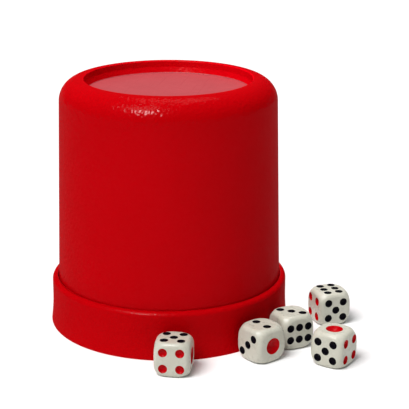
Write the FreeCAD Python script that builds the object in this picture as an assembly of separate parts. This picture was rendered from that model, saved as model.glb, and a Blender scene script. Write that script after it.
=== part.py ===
"""Dice cup set: a shaking cup that stands mouth down in a shallow base tray, and five dice beside it.

The cup is a thin-walled moulding, a little wider at its mouth than at its closed end. A big shoulder
rounds the closed end, and a shallow round recess is let into it, its wall upright above and sloping
below. The base tray is a second moulding: a flat floor and a collar that the cup's mouth drops into.
The dice are round-cornered cubes whose spots are drilled as shallow bowls and painted: one and four in
red, the other faces in black.

Millimetres, +Z up. The origin is the centre of the tray's underside, on the table.
"""
import FreeCAD
import Part

import math
import os

from FreeCAD import Matrix, Vector

# Cup
cup_height = 100.3            # from the mouth to the crown of the closed end
mouth_radius = 46.3           # outside, over the straight land that stands in the tray
wall_draft = 1.45             # degrees that the wall above the land leans in to the closed end
cup_wall = 2.4
crown_wall = 3.0              # closed end, a little thicker so that the shoulder keeps its strength
shoulder_radius = 9.0         # outside rounding between the wall and the closed end
crown_land = 1.0              # flat ring between the shoulder and the round recess inside it
recess_depth = 5.1
recess_wall_depth = 2.6       # upper part of the recess wall, almost upright
recess_wall_draft = 2.0       # degrees that the upper part opens outwards
recess_slope_draft = 20.0     # degrees that the lower part opens outwards
recess_lip_round = 0.5
recess_bend_round = 0.8       # between the two parts of the recess wall
recess_root_round = 0.5
mouth_round = 0.6
inner_groove_round = 0.5      # corners of the groove that runs round inside the crown

# Base tray
tray_floor = 2.5
collar_height = 19.9          # top of the collar above the table
collar_wall = 2.3             # at the top of the collar
collar_draft = 0.3            # degrees that the inside of the collar opens upwards
collar_lip_round = 0.25       # inside edge of the collar's top
collar_top_flat = 0.15        # what the roundings inside and outside leave between them
cup_clearance = 0.3           # between the mouth and the foot of the collar's inside
flare_height = 7.0            # the foot of the collar flares out over this height
flare_reach = 0.85
flare_ease = 4.8396           # how far the easing arc runs each way from the bend of the flare
foot_round = 0.6
tray_root_round = 0.25        # inside corner between floor and collar, under the mouth's rounding

# Dice
die_edge = 14.0
die_edge_round = 1.7
spot_radius = 1.54            # black spots
four_radius = 1.7             # red spots of the four
ace_radius = 3.25             # the one big red spot
spot_depth = 0.7
four_depth = 0.9
ace_depth = 1.4
paint_thickness = 0.12

# The patterns of the spots, as distances from a face's centre, and the radius of the ball that trims a
# die's corners: all in die edges, so that they follow the die's size.
corner_spot_share = 0.2357    # three, four and five, along both axes
two_share = 0.2286            # the two, in line
six_row_share = 0.2821        # along each row of three
six_line_share = 0.1786       # from the middle to each row
ball_share = 0.6929

# Where the dice lie: how far along the foot of the collar from its front, how far out from the foot to
# the die's centre, both in die edges, and the turn in degrees from the way out to the die's own side.
DICE = {
    "die_1": (0.097, 0.643, 78.9),
    "die_2": (2.355, 0.630, -1.0),
    "die_3": (3.490, 0.645, -32.5),
    "die_4": (5.168, 1.263, -65.4),
    "die_5": (3.176, 2.311, 3.7),
}

# Which way each die's own axes point: letters are the turned axes, "-" reverses one. A die's own +X
# face is the one, its +Y face the four and its +Z face the two; opposite faces add up to seven.
FACING = {
    "die_1": ("+x", "-y", "-z"),
    "die_2": ("+x", "+y", "+z"),
    "die_3": ("-x", "-z", "-y"),
    "die_4": ("-z", "-y", "-x"),
    "die_5": ("+z", "+x", "+y"),
}

AXIS = Vector(0, 0, 1)
CENTRE = Vector(0, 0, 0)


def corner_arc(before, corner, after, radius):
    """The arc that rounds a corner, as its start, middle and end."""
    towards_before = (before - corner).normalize()
    towards_after = (after - corner).normalize()
    half = towards_before.getAngle(towards_after) / 2
    run = radius / math.tan(half)
    middle_way = (towards_before + towards_after).normalize()
    centre = corner + middle_way * (radius / math.sin(half))
    return corner + towards_before * run, centre - middle_way * radius, corner + towards_after * run


def turned_solid(corners):
    """Turns an outline about Z. Each corner is (radius, height, rounding)."""
    points = [Vector(r, 0, z) for r, z, rounding in corners]
    count = len(corners)
    edges = []
    ends = []
    for i, (r, z, rounding) in enumerate(corners):
        if rounding == 0:
            ends.append((points[i], points[i]))
            continue
        start, middle, end = corner_arc(points[i - 1], points[i], points[(i + 1) % count], rounding)
        edges.append(Part.Arc(start, middle, end).toShape())
        ends.append((start, end))
    for i in range(count):
        leave = ends[i][1]
        arrive = ends[(i + 1) % count][0]
        if leave.distanceToPoint(arrive) > 1e-6:
            edges.append(Part.LineSegment(leave, arrive).toShape())
    outline = Part.Wire(Part.__sortEdges__(edges))
    solid = Part.Face(outline).revolve(CENTRE, AXIS, 360)
    return solid


def lean(height, degrees):
    return height * math.tan(math.radians(degrees))


# Cup: places that follow from the sizes above
mouth_z = tray_floor
crown_z = mouth_z + cup_height
land_z = collar_height - collar_lip_round
crown_radius = mouth_radius - lean(crown_z - land_z, wall_draft)
recess_radius = crown_radius - shoulder_radius - crown_land
recess_z = crown_z - recess_depth
bend_z = crown_z - recess_wall_depth
bend_radius = recess_radius - lean(recess_wall_depth, recess_wall_draft)
recess_floor_radius = bend_radius - lean(bend_z - recess_z, recess_slope_draft)


def make_cup():
    """The shell: outside up to the crown, down into the recess, then back along the inside."""
    groove_radius = recess_radius + cup_wall
    inside_top = crown_z - crown_wall
    inside_radius = crown_radius - cup_wall
    groove_width = inside_radius - groove_radius
    inside_shoulder = min(shoulder_radius - cup_wall, groove_width - inner_groove_round)
    ceiling = recess_z - crown_wall
    return turned_solid([
        (mouth_radius, mouth_z, mouth_round),
        (mouth_radius, land_z, 0),
        (crown_radius, crown_z, shoulder_radius),
        (recess_radius, crown_z, recess_lip_round),
        (bend_radius, bend_z, recess_bend_round),
        (recess_floor_radius, recess_z, recess_root_round),
        (0, recess_z, 0),
        (0, ceiling, 0),
        (groove_radius, ceiling, inner_groove_round),
        (groove_radius, inside_top, inner_groove_round),
        (inside_radius, inside_top, inside_shoulder),
        (mouth_radius - cup_wall, land_z, 0),
        (mouth_radius - cup_wall, mouth_z, mouth_round),
    ])


# Tray: the inside of its collar clears the mouth of the cup all the way up
seat_radius = mouth_radius + cup_clearance
lip_radius = seat_radius + lean(collar_height - tray_floor, collar_draft)
collar_radius = lip_radius + collar_wall
collar_top_round = collar_wall - collar_lip_round - collar_top_flat
foot_radius = collar_radius + flare_reach
flare_turn = math.atan2(flare_reach, flare_height)
flare_round = flare_ease / math.tan(flare_turn / 2)


def make_tray():
    """Floor and collar. The collar's outside runs straight down, then flares to the foot."""
    return turned_solid([
        (0, 0, 0),
        (foot_radius, 0, foot_round),
        (collar_radius, flare_height, flare_round),
        (collar_radius, collar_height, collar_top_round),
        (lip_radius, collar_height, collar_lip_round),
        (seat_radius, tray_floor, tray_root_round),
        (0, tray_floor, 0),
    ])


def spots():
    """Every spot of a die: (outward normal, place on the face, radius, depth, colour)."""
    half = die_edge / 2
    corner_place = die_edge * corner_spot_share
    two_place = die_edge * two_share
    row_place = die_edge * six_row_share
    line_place = die_edge * six_line_share
    x, y, z = Vector(1, 0, 0), Vector(0, 1, 0), Vector(0, 0, 1)
    found = [(x, x * half, ace_radius, ace_depth, "red")]
    for side in (-1, 1):
        found.append((z, z * half + x * side * two_place, spot_radius, spot_depth, "black"))
        for other in (-1, 1):
            four = y * half + (x * side + z * other) * corner_place
            found.append((y, four, four_radius, four_depth, "red"))
            five = z * -half + (x * side + y * other) * corner_place
            found.append((z * -1, five, spot_radius, spot_depth, "black"))
    for step in (-1, 0, 1):
        three = y * -half + (x + z) * step * corner_place
        found.append((y * -1, three, spot_radius, spot_depth, "black"))
        for line in (-1, 1):
            six = x * -half + z * step * row_place + y * line * line_place
            found.append((x * -1, six, spot_radius, spot_depth, "black"))
    found.append((z * -1, z * -half, spot_radius, spot_depth, "black"))
    return found


def bowl(normal, place, radius, depth, raised=0.0):
    """The ball whose lower cap is a spot's bowl, raised out of the face by a paint layer."""
    ball_radius = (radius ** 2 + depth ** 2) / (2 * depth)
    return Part.makeSphere(ball_radius, place + normal * (ball_radius - depth + raised))


def make_die_pieces():
    """One die about its own centre: its body, and the black and the red paint in its spots."""
    corner = Vector(1, 1, 1) * (-die_edge / 2)
    cube = Part.makeBox(die_edge, die_edge, die_edge, corner)
    cube = cube.makeFillet(die_edge_round, cube.Edges)
    blank = cube.common(Part.makeSphere(die_edge * ball_share))
    body = blank
    paint = {"black": [], "red": []}
    for normal, place, radius, depth, colour in spots():
        ball = bowl(normal, place, radius, depth)
        layer = blank.common(ball).cut(bowl(normal, place, radius, depth, paint_thickness))
        body = body.cut(ball)
        paint[colour].append(layer.Solids[0])
    return {
        "body": body.Solids[0],
        "black_spots": Part.makeCompound(paint["black"]),
        "red_spots": Part.makeCompound(paint["red"]),
    }


def die_matrix(name):
    """Carries a die from its own frame to where it lies on the table."""
    along, out, turn = DICE[name]
    bearing = math.radians(-90) + along * die_edge / foot_radius
    radius = foot_radius + out * die_edge
    side = bearing + math.radians(turn)
    ways = {
        "x": Vector(math.cos(side), math.sin(side), 0),
        "y": Vector(-math.sin(side), math.cos(side), 0),
        "z": AXIS,
    }
    a, b, c = [ways[way[1]] * (-1 if way[0] == "-" else 1) for way in FACING[name]]
    place = Vector(radius * math.cos(bearing), radius * math.sin(bearing), die_edge / 2)
    return Matrix(a.x, b.x, c.x, place.x, a.y, b.y, c.y, place.y, a.z, b.z, c.z, place.z, 0, 0, 0, 1)


def main():
    nodes = {"cup": make_cup(), "base_tray": make_tray()}
    pieces = make_die_pieces()
    for name in DICE:
        matrix = die_matrix(name)
        for piece, shape in pieces.items():
            nodes[f"{name}_{piece}"] = shape.transformed(matrix, copy=True)
    os.makedirs("parts", exist_ok=True)
    for name, shape in nodes.items():
        if not shape.isValid():
            raise ValueError(f"{name} is not a valid solid")
        shape.exportStep(f"parts/{name}.step")
        print(name, len(shape.Solids), "solids", round(shape.Volume, 1), "mm3")


main()
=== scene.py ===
import bpy
import math
import numpy as np
from mathutils import Matrix, Vector
from mathutils.geometry import delaunay_2d_cdt


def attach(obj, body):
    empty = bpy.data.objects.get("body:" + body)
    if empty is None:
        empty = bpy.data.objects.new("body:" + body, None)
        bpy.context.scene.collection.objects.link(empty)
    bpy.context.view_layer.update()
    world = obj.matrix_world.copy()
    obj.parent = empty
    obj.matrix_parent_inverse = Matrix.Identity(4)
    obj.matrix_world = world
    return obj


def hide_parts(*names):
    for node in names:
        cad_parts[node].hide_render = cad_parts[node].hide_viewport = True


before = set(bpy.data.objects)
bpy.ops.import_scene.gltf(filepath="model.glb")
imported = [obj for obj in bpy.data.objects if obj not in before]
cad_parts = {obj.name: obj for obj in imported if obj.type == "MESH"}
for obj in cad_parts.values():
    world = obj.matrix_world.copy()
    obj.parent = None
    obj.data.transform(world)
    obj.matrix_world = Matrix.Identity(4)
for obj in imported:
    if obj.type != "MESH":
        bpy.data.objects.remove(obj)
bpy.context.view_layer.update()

SCENE = bpy.context.scene
MM = 0.001


# ---------------------------------------------------------------- sizes: millimetres and degrees
def lean(height, degrees):
    return height * math.tan(math.radians(degrees))


# Cup: outside, recess, inside
MOUTH_Z, MOUTH_R, MOUTH_ROUND = 2.5, 46.3, 0.6
LAND_Z = 19.65                # the wall stands upright below this and leans in above it
WALL_DRAFT = 1.45
CROWN_Z = 102.8
SHOULDER = 9.0
CROWN_LAND = 1.0
CROWN_R = MOUTH_R - lean(CROWN_Z - LAND_Z, WALL_DRAFT)

RECESS_DEPTH = 5.1
RECESS_WALL_DEPTH, RECESS_WALL_DRAFT, RECESS_SLOPE_DRAFT = 2.6, 2.0, 20.0
RECESS_LIP_ROUND, RECESS_BEND_ROUND, RECESS_ROOT_ROUND = 0.5, 0.8, 0.5
RECESS_R = CROWN_R - SHOULDER - CROWN_LAND
RECESS_Z = CROWN_Z - RECESS_DEPTH
BEND_Z = CROWN_Z - RECESS_WALL_DEPTH
BEND_R = RECESS_R - lean(RECESS_WALL_DEPTH, RECESS_WALL_DRAFT)
RECESS_FLOOR_R = BEND_R - lean(BEND_Z - RECESS_Z, RECESS_SLOPE_DRAFT)

WALL, CROWN_WALL = 2.4, 3.0
GROOVE_ROUND = 0.5
INSIDE_R, GROOVE_R = CROWN_R - WALL, RECESS_R + WALL
INSIDE_SHOULDER = min(SHOULDER - WALL, INSIDE_R - GROOVE_R - GROOVE_ROUND)

# Tray
TRAY_FLOOR, TRAY_ROOT_ROUND = 2.5, 0.25
COLLAR_Z, COLLAR_WALL, COLLAR_DRAFT = 19.9, 2.3, 0.3
COLLAR_TOP_ROUND, COLLAR_LIP_ROUND = 1.9, 0.25
CUP_CLEARANCE = 0.3
FLARE_HEIGHT, FLARE_REACH, FLARE_EASE = 7.0, 0.85, 4.8396
FOOT_ROUND = 0.6
SEAT_R = MOUTH_R + CUP_CLEARANCE
LIP_R = SEAT_R + lean(COLLAR_Z - TRAY_FLOOR, COLLAR_DRAFT)
COLLAR_R = LIP_R + COLLAR_WALL
FOOT_R = COLLAR_R + FLARE_REACH
FLARE_ROUND = FLARE_EASE / math.tan(math.atan2(FLARE_REACH, FLARE_HEIGHT) / 2)

# Dice: edge, roundings, spots as (radius, depth), and where spots lie as shares of the edge
EDGE = 14.0
HALF = EDGE / 2
EDGE_ROUND = 1.7
BALL_R = EDGE * 0.6929        # the ball that trims the corners
SOFTEN = 0.8                  # blends the rounded cube into the ball
RIM_SOFTNESS = 0.11
SPOT, FOUR, ACE = (1.54, 0.7), (1.7, 0.9), (3.25, 1.4)
CORNER_PLACE, TWO_PLACE = EDGE * 0.2357, EDGE * 0.2286
SIX_ROW_PLACE, SIX_LINE_PLACE = EDGE * 0.2821, EDGE * 0.1786
PAINT = 0.05                  # half the thickness of a paint layer

# How far along the foot and how far out from it each die lies, in edges, its turn in degrees, and
# which way its own axes point.
DICE = {
    "die_1": (0.097, 0.643, 78.9, ("+x", "-y", "-z")),
    "die_2": (2.355, 0.630, -1.0, ("+x", "+y", "+z")),
    "die_3": (3.490, 0.645, -32.5, ("-x", "-z", "-y")),
    "die_4": (5.168, 1.263, -65.4, ("-z", "-y", "-x")),
    "die_5": (3.176, 2.311, 3.7, ("+z", "+x", "+y")),
}

# ---------------------------------------------------------------- fineness of the meshes
TURN_SEGMENTS = 288
ARC_STEP_DEG, ARC_STEP = 6, 0.9
MIN_ARC_STEPS = 4
LONG_RUN = 1.2                # a straight run longer than this is cut up
RUN_STEP = 6.0
EDGE_LOOP = 0.3               # a cut this close to each end of a long run keeps its shading flat
FACE_GRID = 57
BOWL_RINGS = (0.0, 0.18, 0.36, 0.52, 0.66, 0.78, 0.87, 0.93, 0.97, 1.0, 1.03, 1.07, 1.13)
BOWL_COUNT = 48
PAINT_RINGS = (0.2, 0.4, 0.57, 0.72, 0.84, 0.94, 1.0, 1.04)


# ---------------------------------------------------------------- node helpers
def nodes_for(name):
    """A new material, its node tree and its Principled shader."""
    mat = bpy.data.materials.new(name)
    mat.use_nodes = True
    tree = mat.node_tree
    return mat, tree, tree.nodes["Principled BSDF"]


def object_coords(tree):
    return tree.nodes.new("ShaderNodeTexCoord").outputs["Object"]


def noise(tree, coords, scale, detail, rough, distort=0.0):
    node = tree.nodes.new("ShaderNodeTexNoise")
    node.inputs["Scale"].default_value = scale
    node.inputs["Detail"].default_value = detail
    node.inputs["Roughness"].default_value = rough
    node.inputs["Distortion"].default_value = distort
    tree.links.new(coords, node.inputs["Vector"])
    return node.outputs["Fac"]


def remap(tree, value, low, high, to_low, to_high):
    node = tree.nodes.new("ShaderNodeMapRange")
    node.inputs["From Min"].default_value = low
    node.inputs["From Max"].default_value = high
    node.inputs["To Min"].default_value = to_low
    node.inputs["To Max"].default_value = to_high
    tree.links.new(value, node.inputs["Value"])
    return node.outputs["Result"]


def stretch(tree, value, to_low=0.0, to_high=1.0):
    """Spreads the middle of a noise, where most of its values lie, over a range."""
    return remap(tree, value, 0.3, 0.7, to_low, to_high)


def maths(tree, how, a, b):
    node = tree.nodes.new("ShaderNodeMath")
    node.operation = how
    for i, value in enumerate((a, b)):
        if isinstance(value, (int, float)):
            node.inputs[i].default_value = value
        else:
            tree.links.new(value, node.inputs[i])
    return node.outputs[0]


def weighted(tree, first, share, second, other_share):
    return maths(tree, "ADD", maths(tree, "MULTIPLY", first, share),
                 maths(tree, "MULTIPLY", second, other_share))


def add_part(tree, value, extra, share):
    return maths(tree, "ADD", value, maths(tree, "MULTIPLY", extra, share))


def blend_colours(tree, factor, first, second):
    node = tree.nodes.new("ShaderNodeMix")
    node.data_type = "RGBA"
    node.inputs[6].default_value = (*first, 1)
    node.inputs[7].default_value = (*second, 1)
    tree.links.new(factor, node.inputs[0])
    return node.outputs[2]


def bump(tree, height, distance, strength=1.0, under=None):
    node = tree.nodes.new("ShaderNodeBump")
    node.inputs["Distance"].default_value = distance
    node.inputs["Strength"].default_value = strength
    tree.links.new(height, node.inputs["Height"])
    if under is not None:
        tree.links.new(under, node.inputs["Normal"])
    return node.outputs["Normal"]


def streaks(tree, coords, turn, across, along, cut):
    """Thin straight scratches: noise squeezed hard one way, only its peaks kept."""
    turned = tree.nodes.new("ShaderNodeMapping")
    turned.inputs["Rotation"].default_value = (0, 0, math.radians(turn))
    tree.links.new(coords, turned.inputs["Vector"])
    squeezed = tree.nodes.new("ShaderNodeMapping")
    squeezed.inputs["Scale"].default_value = (across, along, along)
    tree.links.new(turned.outputs[0], squeezed.inputs["Vector"])
    value = noise(tree, squeezed.outputs[0], scale=1.0, detail=2.0, rough=0.5, distort=0.15)
    return remap(tree, value, cut, cut + 0.06, 0.0, 1.0)


# ---------------------------------------------------------------- materials
RED, RED_DEEP = (0.405, 0.0, 0.0020), (0.375, 0.0, 0.0014)
# Recess wall: a lighter copy of the moulded red. This is painted light, standing in for light bounced
# onto the wall from the recess floor.
RECESS_WALL_BOUNCE_RED, RECESS_WALL_BOUNCE_RED_DEEP = (0.60, 0.0, 0.004), (0.54, 0.0, 0.003)
# Recess floor: its own red plus painted sheen. The white scatter of its frosted face is put into the
# colour as pale pink.
RECESS_SHEEN_PINK, RECESS_SHEEN_PINK_DEEP = (0.375, 0.050, 0.058), (0.335, 0.042, 0.049)
INNER_RED, INNER_RED_DEEP = (0.38, 0.002, 0.005), (0.35, 0.001, 0.004)
TRAY_RED, TRAY_RED_DEEP = (0.39, 0.002, 0.005), (0.36, 0.001, 0.004)
IVORY_DEEP, IVORY_PALE = (0.455, 0.448, 0.372), (0.50, 0.493, 0.423)
PAINT_BLACK, PAINT_BLACK_DEEP = (0.003, 0.002, 0.005), (0.001, 0.001, 0.002)
PAINT_RED, PAINT_RED_DEEP = (0.42, 0.0, 0.003), (0.34, 0.0, 0.002)
PAPER_DEEP, PAPER_PALE = (0.90, 0.90, 0.90), (0.93, 0.93, 0.93)


def moulded_red(name, gloss, rough, grain, red=RED, deep=RED_DEEP):
    """Injection-moulded red plastic: spark-eroded grain, faint scuffs, and a thin sheen as the coat. The
    coat follows only the coarser pits, so that its glints stay apart."""
    mat, tree, shader = nodes_for(name)
    coords = object_coords(tree)
    broad = noise(tree, coords, scale=26.0, detail=3.0, rough=0.55)
    cloud = noise(tree, coords, scale=140.0, detail=4.0, rough=0.6)
    tone = stretch(tree, weighted(tree, broad, 0.6, cloud, 0.4))
    tree.links.new(blend_colours(tree, tone, deep, red), shader.inputs["Base Color"])

    scuffs = streaks(tree, coords, turn=24, across=900, along=14, cut=0.66)
    worn = noise(tree, coords, scale=60.0, detail=4.0, rough=0.6)
    worn = remap(tree, worn, 0.35, 0.7, rough - 0.03, rough + 0.05)
    tree.links.new(add_part(tree, worn, scuffs, 0.03), shader.inputs["Roughness"])

    spark = noise(tree, coords, scale=1400.0, detail=2.0, rough=0.6)
    pits = noise(tree, coords, scale=800.0, detail=0.0, rough=0.5)
    surface = weighted(tree, spark, 0.35, pits, 0.65)
    swell = noise(tree, coords, scale=38.0, detail=1.0, rough=0.4)
    wave = bump(tree, swell, distance=0.00006, strength=0.5)
    tree.links.new(bump(tree, surface, 0.0003, grain, wave), shader.inputs["Normal"])
    tree.links.new(bump(tree, pits, 0.00024, grain, wave), shader.inputs["Coat Normal"])
    shader.inputs["Specular IOR Level"].default_value = 0.0
    shader.inputs["Coat Weight"].default_value = gloss
    shader.inputs["Coat Roughness"].default_value = rough
    shader.inputs["Coat IOR"].default_value = 1.5
    return mat


def polished_red(name, red, deep, gloss, rough, scratches):
    """Smoother red plastic with hairline scratches, for the recess's floor and the insides."""
    mat, tree, shader = nodes_for(name)
    coords = object_coords(tree)
    marks = streaks(tree, coords, turn=12, across=1500, along=22, cut=0.63)
    for turn, across, along in ((71, 1300, 30), (-38, 1700, 18)):
        marks = maths(tree, "MAXIMUM", marks, streaks(tree, coords, turn, across, along, cut=0.66))
    cloud = noise(tree, coords, scale=90.0, detail=5.0, rough=0.6)
    frost = noise(tree, coords, scale=1500.0, detail=3.0, rough=0.6)
    tone = stretch(tree, weighted(tree, cloud, 0.55, frost, 0.45))
    tone = maths(tree, "SUBTRACT", tone, maths(tree, "MULTIPLY", marks, 0.35))
    tree.links.new(blend_colours(tree, tone, deep, red), shader.inputs["Base Color"])

    haze = noise(tree, coords, scale=220.0, detail=4.0, rough=0.6)
    haze = stretch(tree, haze, rough - 0.03, rough + 0.05)
    tree.links.new(add_part(tree, haze, marks, 0.12), shader.inputs["Roughness"])
    grain = bump(tree, frost, distance=0.00005, strength=0.5)
    cuts = bump(tree, maths(tree, "MULTIPLY", marks, -1.0), 0.00004, scratches, grain)
    tree.links.new(cuts, shader.inputs["Normal"])
    shader.inputs["Specular IOR Level"].default_value = gloss
    return mat


def dice_plastic():
    """Ivory-white polished plastic: a little cloudy, with fine rub marks."""
    mat, tree, shader = nodes_for("dice_plastic")
    coords = object_coords(tree)
    cloud = stretch(tree, noise(tree, coords, scale=190.0, detail=4.0, rough=0.55))
    tree.links.new(blend_colours(tree, cloud, IVORY_DEEP, IVORY_PALE), shader.inputs["Base Color"])

    rubs = maths(tree, "MAXIMUM",
                 streaks(tree, coords, turn=33, across=2600, along=60, cut=0.66),
                 streaks(tree, coords, turn=-52, across=2400, along=70, cut=0.67))
    haze = stretch(tree, noise(tree, coords, scale=420.0, detail=4.0, rough=0.6), 0.24, 0.34)
    tree.links.new(add_part(tree, haze, rubs, 0.12), shader.inputs["Roughness"])
    swell = noise(tree, coords, scale=240.0, detail=2.0, rough=0.5)
    wave = bump(tree, swell, distance=0.00005, strength=0.35)
    fine = noise(tree, coords, scale=2600.0, detail=2.0, rough=0.5)
    tree.links.new(bump(tree, fine, 0.00002, 0.4, wave), shader.inputs["Normal"])
    shader.inputs["IOR"].default_value = 1.45
    shader.inputs["Subsurface Weight"].default_value = 0.12
    shader.inputs["Subsurface Radius"].default_value = (1.0, 0.9, 0.8)
    shader.inputs["Subsurface Scale"].default_value = 0.0012
    return mat


def spot_paint(name, colour, deep, rough, gloss):
    """Enamel that has pooled in a spot."""
    mat, tree, shader = nodes_for(name)
    coords = object_coords(tree)
    pooled = stretch(tree, noise(tree, coords, scale=900.0, detail=3.0, rough=0.5))
    tree.links.new(blend_colours(tree, pooled, deep, colour), shader.inputs["Base Color"])
    haze = noise(tree, coords, scale=1500.0, detail=3.0, rough=0.6)
    haze = stretch(tree, haze, rough - 0.04, rough + 0.06)
    tree.links.new(haze, shader.inputs["Roughness"])
    ripple = noise(tree, coords, scale=1300.0, detail=2.0, rough=0.5)
    tree.links.new(bump(tree, ripple, distance=0.00004, strength=0.4), shader.inputs["Normal"])
    shader.inputs["Specular IOR Level"].default_value = gloss
    return mat


def paper_floor():
    mat, tree, shader = nodes_for("studio_paper")
    fibre = noise(tree, object_coords(tree), scale=500.0, detail=4.0, rough=0.6)
    tree.links.new(blend_colours(tree, fibre, PAPER_DEEP, PAPER_PALE), shader.inputs["Base Color"])
    shader.inputs["Roughness"].default_value = 0.9
    shader.inputs["Specular IOR Level"].default_value = 0.1
    return mat


CUP_SKIN = moulded_red("cup_moulded_red", gloss=0.04, rough=0.17, grain=0.9)
# The recess wall takes the lighter copy of the red: painted bounce light, not a different plastic.
RECESS_WALL_BOUNCE_SKIN = moulded_red("cup_recess_wall_painted_bounce_red", gloss=0.03, rough=0.3, grain=0.6,
                        red=RECESS_WALL_BOUNCE_RED, deep=RECESS_WALL_BOUNCE_RED_DEEP)
TRAY_SKIN = moulded_red("tray_moulded_red", gloss=0.032, rough=0.24, grain=0.7)
# The recess floor's pale pink is partly its own red and partly painted sheen.
RECESS_SHEEN_SKIN = polished_red("cup_recess_sheen_red", RECESS_SHEEN_PINK, RECESS_SHEEN_PINK_DEEP,
                           gloss=0.12, rough=0.5, scratches=0.5)
INNER_SKIN = polished_red("cup_inside_red", INNER_RED, INNER_RED_DEEP,
                          gloss=0.2, rough=0.3, scratches=0.4)
TRAY_INNER = polished_red("tray_inside_red", TRAY_RED, TRAY_RED_DEEP,
                          gloss=0.2, rough=0.34, scratches=0.4)
IVORY = dice_plastic()
BLACK = spot_paint("black_spot_paint", PAINT_BLACK, PAINT_BLACK_DEEP, rough=0.22, gloss=0.03)
SPOT_RED = spot_paint("red_spot_paint", PAINT_RED, PAINT_RED_DEEP, rough=0.2, gloss=0.06)


# ---------------------------------------------------------------- turned pieces
def rounded_corner(before, corner, after, rounding):
    """Points along the arc that rounds a corner."""
    back = (before - corner).normalized()
    on = (after - corner).normalized()
    half = math.acos(max(-1.0, min(1.0, back.dot(on)))) / 2
    run = rounding / math.tan(half)
    centre = corner + (back + on).normalized() * (rounding / math.sin(half))
    start = corner + back * run - centre
    end = corner + on * run - centre
    sweep = math.atan2(start.x * end.y - start.y * end.x, start.dot(end))
    steps = max(MIN_ARC_STEPS, int(abs(math.degrees(sweep)) / ARC_STEP_DEG) + 1,
                int(abs(sweep) * rounding / ARC_STEP) + 1)
    arc = []
    for k in range(steps + 1):
        a = sweep * k / steps
        turned = Vector((start.x * math.cos(a) - start.y * math.sin(a),
                         start.x * math.sin(a) + start.y * math.cos(a)))
        arc.append(centre + turned)
    return arc


def rounded_outline(corners):
    """Corners (radius, height, rounding) to points, each with its corner's number. Long straight runs are
    cut up, first just off each of their ends."""
    points = [Vector((r, z)) for r, z, rounding in corners]
    out = []
    for i, (r, z, rounding) in enumerate(corners):
        if rounding == 0:
            out.append((points[i], i))
        else:
            arc = rounded_corner(points[i - 1], points[i], points[i + 1], rounding)
            out.extend((p, i) for p in arc)
    full = [out[0]]
    for (p, run), (q, after) in zip(out, out[1:]):
        length = (q - p).length
        if length < 1e-6:
            continue
        if length > LONG_RUN:
            way = (q - p) / length
            cuts = max(1, int(length / RUN_STEP))
            marks = [EDGE_LOOP] + [length * k / cuts for k in range(1, cuts)] + [length - EDGE_LOOP]
            full.extend((p + way * m, run) for m in marks)
        full.append((q, after))
    return full


def turned_mesh(name, corners):
    """Turns an outline about Z. Each corner is (radius, height, rounding, material number), and the
    material is that of the corner and of the run after it."""
    skins = [skin for r, z, rounding, skin in corners]
    outline = rounded_outline([corner[:3] for corner in corners])
    verts, faces, rings, skin = [], [], [], []
    for p, run in outline:
        if p.x < 1e-6:
            rings.append([len(verts)] * TURN_SEGMENTS)
            verts.append((0, 0, p.y * MM))
            continue
        ring = []
        for k in range(TURN_SEGMENTS):
            a = 2 * math.pi * k / TURN_SEGMENTS
            ring.append(len(verts))
            verts.append((p.x * MM * math.cos(a), p.x * MM * math.sin(a), p.y * MM))
        rings.append(ring)
    for first, second, (p, run) in zip(rings, rings[1:], outline):
        for k in range(TURN_SEGMENTS):
            n = (k + 1) % TURN_SEGMENTS
            face = list(dict.fromkeys((first[k], first[n], second[n], second[k])))
            if len(face) > 2:
                faces.append(face)
                skin.append(skins[run])
    mesh = bpy.data.meshes.new(name)
    mesh.from_pydata(verts, [], faces)
    mesh.polygons.foreach_set("material_index", skin)
    mesh.polygons.foreach_set("use_smooth", [True] * len(mesh.polygons))
    mesh.update()
    return mesh


def put(mesh, name, materials, body, node):
    """Makes the object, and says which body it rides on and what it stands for."""
    piece = bpy.data.objects.new(name, mesh)
    SCENE.collection.objects.link(piece)
    skin = [p.material_index for p in mesh.polygons]
    for material in materials:
        mesh.materials.append(material)
    mesh.polygons.foreach_set("material_index", skin)
    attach(piece, body)
    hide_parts(node)
    return piece


def make_cup():
    """From the ceiling of the inside, round the mouth, to the middle of the recess."""
    outer, recess, inner, wall = range(4)
    mesh = turned_mesh("cup_shell", [
        (0, RECESS_Z - CROWN_WALL, 0, inner),
        (GROOVE_R, RECESS_Z - CROWN_WALL, GROOVE_ROUND, inner),
        (GROOVE_R, CROWN_Z - CROWN_WALL, GROOVE_ROUND, inner),
        (INSIDE_R, CROWN_Z - CROWN_WALL, INSIDE_SHOULDER, inner),
        (MOUTH_R - WALL, LAND_Z, 0, inner),
        (MOUTH_R - WALL, MOUTH_Z, MOUTH_ROUND, outer),
        (MOUTH_R, MOUTH_Z, MOUTH_ROUND, outer),
        (MOUTH_R, LAND_Z, 0, outer),
        (CROWN_R, CROWN_Z, SHOULDER, outer),
        (RECESS_R, CROWN_Z, RECESS_LIP_ROUND, wall),
        (BEND_R, BEND_Z, RECESS_BEND_ROUND, wall),
        (RECESS_FLOOR_R, RECESS_Z, RECESS_ROOT_ROUND, recess),
        (0, RECESS_Z, 0, recess),
    ])
    return put(mesh, "cup_shell", [CUP_SKIN, RECESS_SHEEN_SKIN, INNER_SKIN, RECESS_WALL_BOUNCE_SKIN], "cup", "cup")


def make_tray():
    """From the middle of the underside, over the collar, to the middle of the floor."""
    outer, inner = range(2)
    mesh = turned_mesh("tray_shell", [
        (0, 0, 0, outer),
        (FOOT_R, 0, FOOT_ROUND, outer),
        (COLLAR_R, FLARE_HEIGHT, FLARE_ROUND, outer),
        (COLLAR_R, COLLAR_Z, COLLAR_TOP_ROUND, outer),
        (LIP_R, COLLAR_Z, COLLAR_LIP_ROUND, inner),
        (SEAT_R, TRAY_FLOOR, TRAY_ROOT_ROUND, inner),
        (0, TRAY_FLOOR, 0, inner),
    ])
    return put(mesh, "tray_shell", [TRAY_SKIN, TRAY_INNER], "tray", "base_tray")


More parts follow.
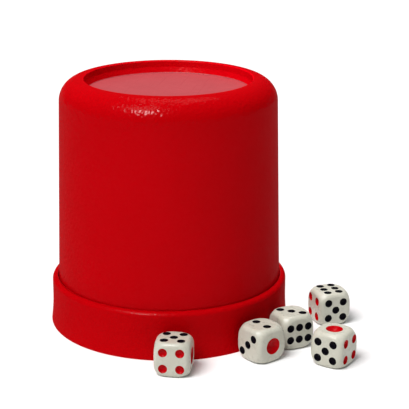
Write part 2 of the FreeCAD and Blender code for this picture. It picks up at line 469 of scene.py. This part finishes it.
# ---------------------------------------------------------------- dice
UNIT = {"x": np.array([1.0, 0, 0]), "y": np.array([0, 1.0, 0]), "z": np.array([0, 0, 1.0])}
FACES = {   # each number's outward axis and sign, then the two ways along its face
    1: ("x", 1, "y", "z"), 6: ("x", -1, "y", "z"),
    4: ("y", 1, "x", "z"), 3: ("y", -1, "x", "z"),
    2: ("z", 1, "x", "y"), 5: ("z", -1, "x", "y"),
}


def face_spots(number):
    """The spots of a face in its own plane: ((first way, second way), (radius, depth))."""
    sides = (-1, 1)
    if number == 1:
        return [((0, 0), ACE)]
    if number == 2:
        return [((k * TWO_PLACE, 0), SPOT) for k in sides]
    if number == 3:
        return [((k * CORNER_PLACE, k * CORNER_PLACE), SPOT) for k in (-1, 0, 1)]
    if number == 4:
        return [((i * CORNER_PLACE, k * CORNER_PLACE), FOUR) for i in sides for k in sides]
    if number == 5:
        four = [((i * CORNER_PLACE, k * CORNER_PLACE), SPOT) for i in sides for k in sides]
        return four + [((0, 0), SPOT)]
    return [((i * SIX_LINE_PLACE, k * SIX_ROW_PLACE), SPOT) for i in sides for k in (-1, 0, 1)]


def ways_of(number):
    """Outward way, the two ways in the face, and whether they turn against the outward way."""
    axis, sign, first, second = FACES[number]
    out = UNIT[axis] * sign
    flip = np.dot(np.cross(UNIT[first], UNIT[second]), out) < 0
    return out, UNIT[first], UNIT[second], flip


def skin_field(p):
    """How far points lie outside the die: a rounded cube trimmed by a ball, the meeting softened."""
    q = np.abs(p) - (HALF - EDGE_ROUND)
    cube = np.linalg.norm(np.maximum(q, 0), axis=1) + np.minimum(q.max(axis=1), 0) - EDGE_ROUND
    ball = np.linalg.norm(p, axis=1) - BALL_R
    mix = np.maximum(SOFTEN - np.abs(cube - ball), 0) / SOFTEN
    return np.maximum(cube, ball) + mix * mix * SOFTEN / 4


def on_skin(ways):
    """Where rays from the centre leave the die."""
    low, high = np.full(len(ways), 0.5), np.full(len(ways), 1.05)
    for _ in range(40):
        mid = (low + high) / 2
        outside = skin_field(ways * mid[:, None]) > 0
        high = np.where(outside, mid, high)
        low = np.where(outside, low, mid)
    return ways * low[:, None]


def sink(rho, radius, depth):
    """Depth of a spot's bowl at a distance from its middle, its rim softened."""
    ball = (radius ** 2 + depth ** 2) / (2 * depth)
    bowl = np.where(rho < ball, np.sqrt(np.maximum(ball ** 2 - rho ** 2, 0)), 0) - (ball - depth)
    mix = np.maximum(RIM_SOFTNESS - np.abs(bowl), 0) / RIM_SOFTNESS
    soft = np.maximum(bowl, 0) + mix * mix * RIM_SOFTNESS / 4
    return np.where(rho > radius * 1.3, 0, soft)


def face_plane(spots):
    """Points of a face before it is bent: an even grid off the spots, and rings round each spot."""
    grid = np.linspace(-HALF, HALF, FACE_GRID)
    clear = BOWL_RINGS[-1]
    flat = [(x, y) for x in grid for y in grid
            if all(math.hypot(x - c[0], y - c[1]) > size[0] * clear + 0.13 for c, size in spots)]
    for c, size in spots:
        for f in BOWL_RINGS:
            count = 1 if f == 0 else 12 if f < 0.2 else 24 if f < 0.5 else BOWL_COUNT
            for k in range(count):
                a = 2 * math.pi * (k + 0.5) / count
                flat.append((c[0] + size[0] * f * math.cos(a), c[1] + size[0] * f * math.sin(a)))
    return flat


def die_skin():
    """The body of a die as points and triangles, its bowls sunk in."""
    all_points, all_faces, start = [], [], 0
    for number in range(1, 7):
        out, first, second, flip = ways_of(number)
        spots = face_spots(number)
        flat = [Vector(p) for p in face_plane(spots)]
        result = delaunay_2d_cdt(flat, [], [], 0, 1e-6)
        plane = np.array([tuple(v) for v in result[0]])
        points = on_skin(out * HALF + plane[:, :1] * first + plane[:, 1:] * second)
        for c, size in spots:
            rho = np.hypot(plane[:, 0] - c[0], plane[:, 1] - c[1])
            points = points - sink(rho, *size)[:, None] * out
        for face in result[2]:
            face = list(face)[::-1] if flip else list(face)
            all_faces.append([i + start for i in face])
        all_points.append(points)
        start += len(points)
    return welded(np.vstack(all_points), all_faces)


def welded(points, faces):
    """Joins the points that two faces of the die share along an edge."""
    keys, where, back = {}, [], []
    for i, key in enumerate(map(tuple, np.round(points, 4))):
        if key not in keys:
            keys[key] = len(where)
            where.append(i)
        back.append(keys[key])
    faces = [[back[i] for i in f] for f in faces]
    return points[where], [f for f in faces if len(set(f)) == len(f)]


def paint_share(f):
    """How much of a paint layer's thickness is left at a share of the spot's radius."""
    return 1.0 if f < 0.9 else 0.8 if f < 0.97 else 0.5 if f < 1.02 else 0.0


def stack_faces(stack):
    """A disc of rings, from its middle point outwards."""
    made = []
    for k in range(BOWL_COUNT):
        n = (k + 1) % BOWL_COUNT
        made.append([stack[0][0], stack[1][k], stack[1][n]])
        made.extend([a[k], b[k], b[n], a[n]] for a, b in zip(stack[1:], stack[2:]))
    return made


def paint_caps(numbers):
    """Closed lens-thin paint layers lying in the bowls of the given faces."""
    points, faces = [], []
    for number in numbers:
        out, first, second, flip = ways_of(number)
        for c, (radius, depth) in face_spots(number):
            discs = []
            for side in (1, -1):
                disc = []
                for f in (0.0, *PAINT_RINGS):
                    lift = PAINT * paint_share(f) if side > 0 else -PAINT
                    height = HALF - float(sink(np.array([radius * f]), radius, depth)[0]) + lift
                    ring = []
                    for k in range(BOWL_COUNT if f else 1):
                        a = 2 * math.pi * k / BOWL_COUNT
                        ring.append(len(points))
                        points.append(out * height + first * (c[0] + radius * f * math.cos(a))
                                      + second * (c[1] + radius * f * math.sin(a)))
                    disc.append(ring)
                discs.append(disc)
            top, bottom = discs
            made = stack_faces(top) + [f[::-1] for f in stack_faces(bottom)]
            for k in range(BOWL_COUNT):
                n = (k + 1) % BOWL_COUNT
                made.append([top[-1][k], bottom[-1][k], bottom[-1][n], top[-1][n]])
            faces.extend(f[::-1] if flip else f for f in made)
    return np.array(points), faces


def die_matrix(along, out, turn, facing):
    """Carries a die from its own millimetres to where it lies on the table."""
    bearing = math.radians(-90) + along * EDGE / FOOT_R
    radius = FOOT_R + out * EDGE
    side = bearing + math.radians(turn)
    ways = {
        "x": Vector((math.cos(side), math.sin(side), 0)),
        "y": Vector((-math.sin(side), math.cos(side), 0)),
        "z": Vector((0, 0, 1)),
    }
    columns = [ways[w[1]] * (-1 if w[0] == "-" else 1) for w in facing]
    turned = Matrix(columns).transposed().to_4x4()
    place = Vector((radius * math.cos(bearing), radius * math.sin(bearing), HALF))
    return Matrix.Translation(place * MM) @ turned @ Matrix.Scale(MM, 4)


def placed_mesh(name, points, faces, matrix):
    mesh = bpy.data.meshes.new(name)
    mesh.from_pydata([matrix @ Vector(p) for p in points], [], faces)
    mesh.validate()
    mesh.update()
    mesh.polygons.foreach_set("use_smooth", [True] * len(mesh.polygons))
    return mesh


def make_dice():
    kinds = [
        ("_ivory", die_skin(), IVORY, "_body", "dice_plastic"),
        ("_black_paint", paint_caps((2, 3, 5, 6)), BLACK, "_black_spots", "black_paint"),
        ("_red_paint", paint_caps((1, 4)), SPOT_RED, "_red_spots", "red_paint"),
    ]
    for die, place in DICE.items():
        matrix = die_matrix(*place)
        for ending, shape, material, node, slot in kinds:
            mesh = placed_mesh(die + ending, *shape, matrix)
            put(mesh, die + ending, [material], die, die + node)


# ---------------------------------------------------------------- studio
FLOOR_CELLS, FLOOR_HALF = 24, 25.0
SKY_LOW, SKY_HIGH = (0.19, 0.19, 0.19), (0.5, 0.5, 0.5)
SKY_RIGHT = 0.6               # the sky's strength towards +X, the side away from the key
AIM = Vector((0, 0, 0.06))

CAMERA_PLACE = (0, -0.5346, 0.2150)
CAMERA_YAW, CAMERA_PITCH, CAMERA_ROLL = 0.0276, 0.3013, 0.0032
CAMERA_LENS, CAMERA_SENSOR = 118.35, 36.0
CAMERA_NEAR, CAMERA_FAR = 0.01, 50.0


def make_floor():
    row = FLOOR_CELLS + 1
    ticks = [FLOOR_HALF * (i / FLOOR_CELLS - 0.5) * 2 for i in range(row)]
    verts = [(x, y, 0.0) for y in ticks for x in ticks]
    corners = [j * row + i for j in range(FLOOR_CELLS) for i in range(FLOOR_CELLS)]
    faces = [[c, c + 1, c + row + 1, c + row] for c in corners]
    mesh = bpy.data.meshes.new("studio_floor")
    mesh.from_pydata(verts, [], faces)
    mesh.materials.append(paper_floor())
    floor = bpy.data.objects.new("studio_floor", mesh)
    SCENE.collection.objects.link(floor)
    return floor


def make_sky():
    """Brighter above than at the horizon, and dimmer to the right."""
    world = bpy.data.worlds.new("studio")
    SCENE.world = world
    world.use_nodes = True
    tree = world.node_tree
    ground = tree.nodes["Background"]
    split = tree.nodes.new("ShaderNodeSeparateXYZ")
    tree.links.new(tree.nodes.new("ShaderNodeTexCoord").outputs["Generated"], split.inputs[0])
    high = remap(tree, split.outputs["Z"], 0.0, 1.0, 0.0, 1.0)
    tree.links.new(blend_colours(tree, high, SKY_LOW, SKY_HIGH), ground.inputs["Color"])
    strength = remap(tree, split.outputs["X"], 0.0, 1.0, 1.0, SKY_RIGHT)
    tree.links.new(strength, ground.inputs["Strength"])


def sun(name, energy, angle):
    data = bpy.data.lights.new(name, "SUN")
    data.energy = energy
    data.angle = math.radians(angle)
    return data


def aimed(name, data, azimuth, elevation, distance=1.0):
    """A light that looks at the middle of the cup from a given side and height."""
    a, e = math.radians(azimuth), math.radians(elevation)
    back = Vector((math.sin(a) * math.cos(e), -math.cos(a) * math.cos(e), math.sin(e)))
    light = bpy.data.objects.new(name, data)
    light.rotation_mode = "QUATERNION"
    light.rotation_quaternion = back.to_track_quat("Z", "Y")
    light.location = back * distance + AIM
    SCENE.collection.objects.link(light)
    return light


def linked(name, state, *pieces):
    """A collection that takes pieces out of a light's shadows or reach, or keeps its reach to them."""
    group = bpy.data.collections.new(name)
    for piece in pieces:
        group.objects.link(piece)
    for entry in group.collection_objects:
        entry.light_linking.link_state = state
    return group


def make_lights(cup, tray, floor):
    """The key passes through cup and tray to the floor, which shows the dice's shadows only. The
    overhead light fills the tops, and the window makes the glint on the shoulder."""
    key = aimed("key", sun("key", energy=3.3, angle=34), azimuth=-44, elevation=58)
    key.light_linking.blocker_collection = linked("key_passes", "EXCLUDE", cup, tray)

    soft = bpy.data.lights.new("overhead", "AREA")
    soft.shape = "DISK"
    soft.size = 0.32
    soft.energy = 1.5
    over = aimed("overhead", soft, azimuth=170, elevation=72, distance=0.55)
    over.light_linking.receiver_collection = linked("overhead_misses", "EXCLUDE", floor)

    window = aimed("window", sun("window", energy=7.5, angle=10), azimuth=-29, elevation=43)
    window.visible_diffuse = False
    window.light_linking.receiver_collection = linked("window_lights", "INCLUDE", cup, tray)


def make_camera():
    """At the viewing angle: 0.535 m in front, 0.215 m up, looking 17 degrees down."""
    yaw, pitch, roll = CAMERA_YAW, CAMERA_PITCH, CAMERA_ROLL
    look = Vector((math.sin(yaw) * math.cos(pitch), math.cos(yaw) * math.cos(pitch), -math.sin(pitch)))
    right = Vector((math.cos(yaw), -math.sin(yaw), 0))
    up = right.cross(look)
    across = right * math.cos(roll) + up * math.sin(roll)
    upward = up * math.cos(roll) - right * math.sin(roll)
    data = bpy.data.cameras.new("camera")
    data.sensor_width = CAMERA_SENSOR
    data.lens = CAMERA_LENS
    data.clip_start, data.clip_end = CAMERA_NEAR, CAMERA_FAR
    camera = bpy.data.objects.new("camera", data)
    turned = Matrix((across, upward, -look)).transposed().to_4x4()
    camera.matrix_world = Matrix.Translation(CAMERA_PLACE) @ turned
    SCENE.collection.objects.link(camera)
    SCENE.camera = camera


SCENE.view_settings.view_transform = "Standard"
make_camera()
FLOOR = make_floor()
CUP = make_cup()
TRAY = make_tray()
make_dice()
make_sky()
make_lights(CUP, TRAY, FLOOR)

bpy.context.view_layer.update()
